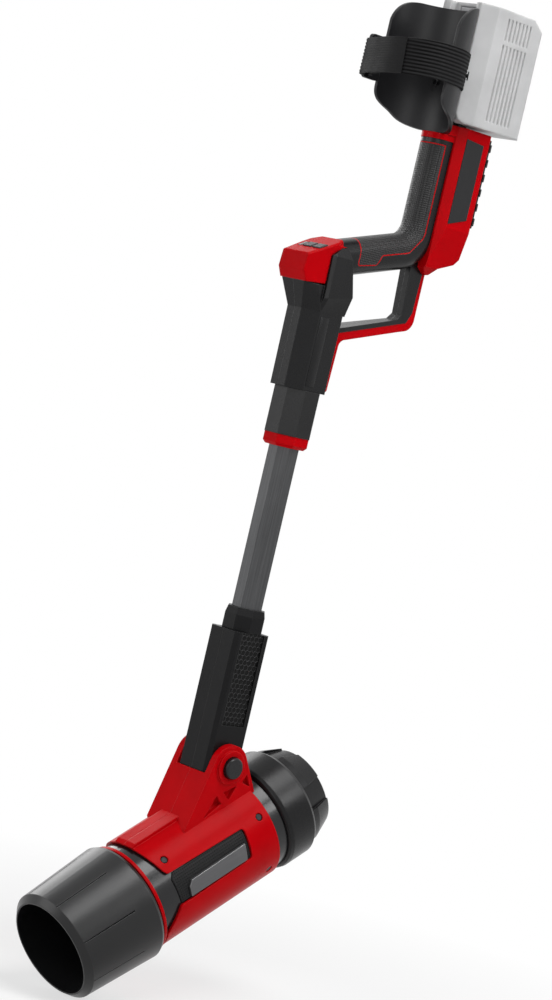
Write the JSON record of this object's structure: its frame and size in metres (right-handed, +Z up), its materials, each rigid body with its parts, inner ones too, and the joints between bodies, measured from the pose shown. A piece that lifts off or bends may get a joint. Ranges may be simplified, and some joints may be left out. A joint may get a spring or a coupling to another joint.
{
  "type": "leaf blower",
  "caption": "Cordless long-reach leaf blower: a swivelling axial fan head on a tube, a thumb panel, a hand grip, a forearm cuff with a strap, and a slide-on battery.",
  "frame": {"origin": "the middle of the hand grip", "axes": "+X forward to the thumb panel and the nozzle, +Y to the user's left, +Z up along the tube"},
  "size_m": [0.3733, 0.124, 1.0457],
  "materials": {
    "red_plastic": "semi-gloss",
    "black_plastic": "satin",
    "dark_plastic": "satin",
    "gloss_black": "gloss",
    "grip_rubber": "textured",
    "tube_metal": "anodised satin",
    "steel": "plain",
    "screws": "blackened",
    "contacts": "plain",
    "board": "plain",
    "battery_grey": "satin",
    "webbing": "woven"
  },
  "bodies": {
    "handle": {"arm_left": "dark_plastic", "arm_pad_left": "dark_plastic", "arm_pad_right": "dark_plastic", "arm_right": "dark_plastic", "arm_screws": "screws", "battery_housing_left": "red_plastic", "battery_housing_right": "red_plastic", "battery_mount": "black_plastic", "control_board": "board", "control_cap": "red_plastic", "cuff": "black_plastic", "cuff_screws": "screws", "grip_cover": "grip_rubber", "grip_piping": "red_plastic", "handle_screws": "screws", "handle_shell_left": "black_plastic", "handle_shell_right": "black_plastic", "housing_screws": "screws", "label_plate_left": "dark_plastic", "label_plate_right": "dark_plastic", "level_lens": "gloss_black", "power_cable": "grip_rubber", "rear_vent_cover": "black_plastic", "sleeve": "dark_plastic", "spine_trim": "red_plastic", "strap": "webbing", "strap_ring": "black_plastic", "strap_rivet": "steel", "terminal_block": "black_plastic", "terminals": "contacts", "tube": "tube_metal", "tube_collar": "red_plastic", "tube_socket": "dark_plastic"},
    "head": {"nozzle": "dark_plastic", "nozzle_ring": "red_plastic", "barrel": "gloss_black", "head_screws": "screws", "head_shell_left": "red_plastic", "head_shell_right": "red_plastic", "side_grille_left": "black_plastic", "side_grille_right": "black_plastic", "badge_left": "dark_plastic", "badge_right": "dark_plastic", "intake_bell": "dark_plastic", "intake_guard": "black_plastic", "motor_pod": "black_plastic", "motor": "steel", "shaft_bearings": "steel", "tail_cone": "black_plastic", "hinge_pin": "steel", "pivot_cap": "black_plastic", "pivot_spring": "steel"},
    "fan": {"fan_rotor": "black_plastic", "fan_shaft": "steel"},
    "pivot_button": {"pivot_button": "black_plastic"},
    "power_button": {"power_button": "black_plastic"},
    "speed_button": {"speed_button": "black_plastic"},
    "battery": {"battery_case": "battery_grey"},
    "battery_release": {"battery_release": "black_plastic"}
  },
  "joints": [
    {"name": "head_swivel", "type": "hinge", "parent": "handle", "child": "head", "pos_m": [0.063, 0, -0.531], "axis": [0, 1, 0], "range_deg": [0, 50]},
    {"name": "pivot_press", "type": "slide", "parent": "head", "child": "pivot_button", "axis": [0, -1, 0], "range_m": [0, 0.0022], "stiffness_N_per_m": 1500},
    {"name": "fan_spin", "type": "hinge", "parent": "head", "child": "fan", "pos_m": [0.01679, 0, -0.60353], "axis": [0.8434, 0, -0.5373], "continuous": true},
    {"name": "power_press", "type": "slide", "parent": "handle", "child": "power_button", "axis": [-0.4311, 0, -0.9023], "range_m": [0, 0.0012], "stiffness_N_per_m": 1500},
    {"name": "speed_press", "type": "slide", "parent": "handle", "child": "speed_button", "axis": [-0.4311, 0, -0.9023], "range_m": [0, 0.0012], "stiffness_N_per_m": 1500},
    {"name": "battery_slide", "type": "slide", "parent": "handle", "child": "battery", "axis": [0, 0, 1], "range_m": [0, 0.13]},
    {"name": "release_press", "type": "slide", "parent": "battery", "child": "battery_release", "axis": [-1, 0, 0], "range_m": [0, 0.003], "stiffness_N_per_m": 800}
  ]
}
